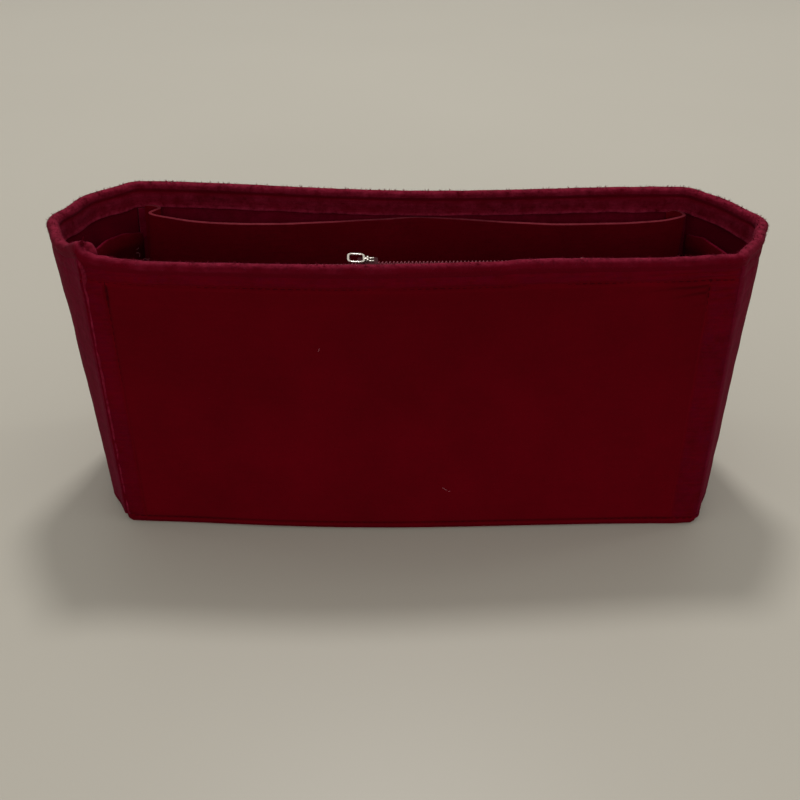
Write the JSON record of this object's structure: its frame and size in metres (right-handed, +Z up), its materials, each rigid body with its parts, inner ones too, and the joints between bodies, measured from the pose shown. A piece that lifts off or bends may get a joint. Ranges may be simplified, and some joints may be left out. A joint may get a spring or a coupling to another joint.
{
  "type": "handbag organizer insert",
  "caption": "Open felt tub with folding ends and a bound rim, with a pleated back pocket, end pockets and a zipped front pocket.",
  "frame": {"origin": "under the middle of the whole outline, on the floor the insert stands on", "axes": "+Z up, +X along the length towards the viewer's right, +Y from the zipped front wall towards the back wall"},
  "size_m": [0.3239, 0.1114, 0.1276],
  "materials": {
    "felt_outer": "burgundy wool-look felt, matt",
    "felt_lining": "burgundy felt, matt",
    "felt_pocket": "smooth burgundy felt with a lighter cut edge",
    "felt_binding": "burgundy felt strip, fuzzy at the fold",
    "board": "plain stiffening board, hidden",
    "zip_tape": "burgundy woven tape",
    "zip_coil": "burgundy coil, satin",
    "zip_metal": "bright silver plating"
  },
  "bodies": {
    "tub": {"front_panel": "felt_outer", "back_panel": "felt_outer", "left_gusset": "felt_outer", "right_gusset": "felt_outer", "base_panel": "felt_outer", "front_lining": "felt_lining", "back_lining": "felt_lining", "left_end_lining": "felt_lining", "right_end_lining": "felt_lining", "base_lining": "felt_lining", "corner_tape_front_left": "felt_lining", "corner_tape_front_right": "felt_lining", "corner_tape_back_left": "felt_lining", "corner_tape_back_right": "felt_lining", "back_pocket": "felt_pocket", "left_end_pocket": "felt_pocket", "right_end_pocket": "felt_pocket", "zip_pocket_panel": "felt_pocket", "front_stiffener": "board", "back_stiffener": "board", "base_stiffener": "board", "rim_binding": "felt_binding", "zip_tape_front": "zip_tape", "zip_tape_rear": "zip_tape", "zip_coil_front": "zip_coil", "zip_coil_rear": "zip_coil", "zip_stop_left": "zip_metal", "zip_stop_right": "zip_metal"},
    "slider": {"zip_slider": "zip_metal"},
    "pull_tab": {"zip_pull_tab": "zip_metal"}
  },
  "joints": [
    {"name": "zip_slide", "type": "slide", "parent": "tub", "child": "slider", "axis": [0.9996, 0.0287, 0], "range_m": [-0.0732, 0.112]},
    {"name": "pull_tab_hinge", "type": "hinge", "parent": "slider", "child": "pull_tab", "pos_m": [-0.0169, -0.03963, 0.1243], "axis": [-0.0287, 0.9996, 0], "range_deg": [0, 160]}
  ]
}
